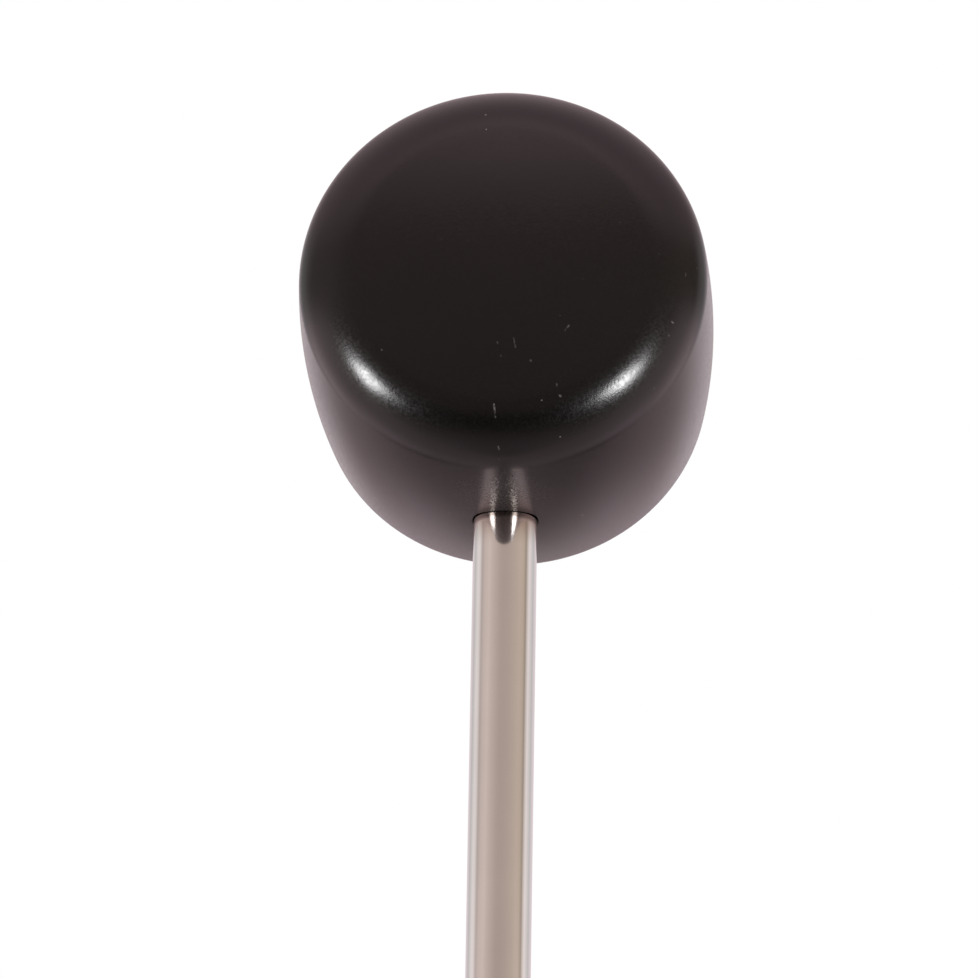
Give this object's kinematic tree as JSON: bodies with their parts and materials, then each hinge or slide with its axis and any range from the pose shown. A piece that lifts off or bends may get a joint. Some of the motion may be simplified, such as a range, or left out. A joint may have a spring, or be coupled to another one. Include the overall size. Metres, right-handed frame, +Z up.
{
  "type": "bass drum beater",
  "caption": "Bass drum pedal beater: a short black cylindrical head with a flat rounded-rim face and a felt back, clamped by a nut across the top of a plain chromed rod.",
  "frame": {"origin": "on the rod's axis, where the pedal's clamp grips it, 25 mm above the rod's lower end", "axes": "+Z up along the rod towards the head; the head's axis lies along Y, with the bare striking face towards -Y and the felt towards +Y"},
  "size_m": [0.052, 0.0495, 0.221],
  "materials": {
    "chrome_rod": "bright chrome plate on steel",
    "black_head": "moulded black, semi-gloss, lightly scuffed",
    "core_plastic": "moulded, dull",
    "wool_felt": "pressed wool felt",
    "zinc_steel": "bright zinc plate"
  },
  "bodies": {
    "shaft": {"shaft": "chrome_rod", "seat_washer": "zinc_steel", "top_washer": "zinc_steel", "spring_washer": "zinc_steel", "top_nut": "zinc_steel"},
    "head": {"head_shell": "black_head", "hub": "core_plastic", "rear_cap": "black_head", "felt_pad": "wool_felt"}
  },
  "joints": [
    {"name": "head_turn", "type": "hinge", "parent": "shaft", "child": "head", "pos_m": [0, 0, 0.17], "axis": [0, 0, 1], "continuous": true}
  ]
}
